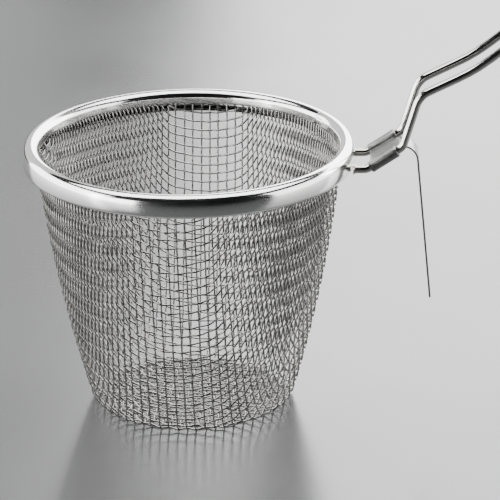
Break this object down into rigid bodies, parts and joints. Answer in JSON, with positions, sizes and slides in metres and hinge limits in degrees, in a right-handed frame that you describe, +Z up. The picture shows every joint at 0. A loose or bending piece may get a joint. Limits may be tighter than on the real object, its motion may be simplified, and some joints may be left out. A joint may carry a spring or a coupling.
{
  "type": "wire mesh noodle strainer",
  "caption": "Drawn wire-cloth strainer basket with a rolled rim, a two-leg wire handle and a hook that hangs it on a pot wall.",
  "frame": {"origin": "centre of the basket's floor on its underside", "axes": "+Z up along the basket's axis, +X out along the handle, +Y across the handle"},
  "size_m": [0.2603, 0.12, 0.2054],
  "materials": {
    "cloth_steel": "bright drawn stainless wire",
    "core_steel": "plain drawn stainless wire",
    "rim_steel": "polished stainless sheet",
    "handle_steel": "bright drawn stainless wire",
    "hook_steel": "satin stainless sheet"
  },
  "bodies": {
    "root": {"mesh_basket": "cloth_steel", "rim_core_wire": "core_steel", "rim_band": "rim_steel", "handle_wire": "handle_steel", "hook_plate": "hook_steel"}
  },
  "joints": []
}
